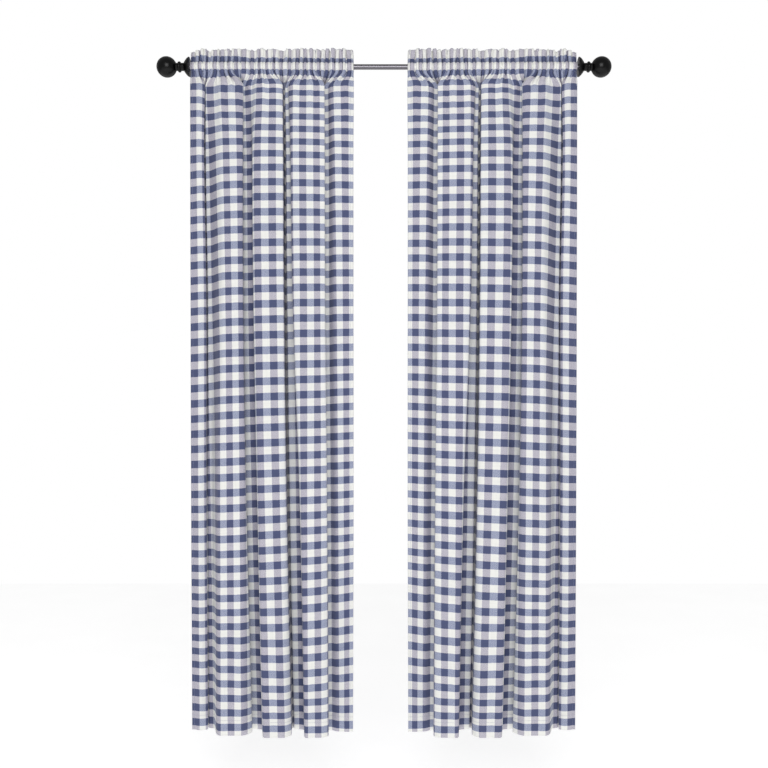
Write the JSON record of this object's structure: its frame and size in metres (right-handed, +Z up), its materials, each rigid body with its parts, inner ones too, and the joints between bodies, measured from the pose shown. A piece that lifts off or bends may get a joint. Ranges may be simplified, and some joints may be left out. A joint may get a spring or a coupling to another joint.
{
  "type": "pair of rod pocket curtains on a curtain rod",
  "caption": "Long check cotton curtain panels with a ruffled header, gathered by their rod pockets on a slim metal curtain rod with black ball finials.",
  "frame": {"origin": "middle of the curtain rod's axis, halfway between its two finials", "axes": "+Z up, opposite to the hang of the cloth; +X along the rod to the right as seen from the room; -Y towards the room and +Y towards the wall"},
  "size_m": [1.412, 0.1126, 2.1253],
  "materials": {
    "check_cloth": "matt yarn-dyed plain weave, navy and off-white buffalo check",
    "rod_metal": "dark polished nickel",
    "finial_black": "black satin lacquer"
  },
  "bodies": {
    "root": {"panel_left": "check_cloth", "panel_right": "check_cloth", "rod": "rod_metal", "finial_left": "finial_black", "finial_right": "finial_black"}
  },
  "joints": []
}
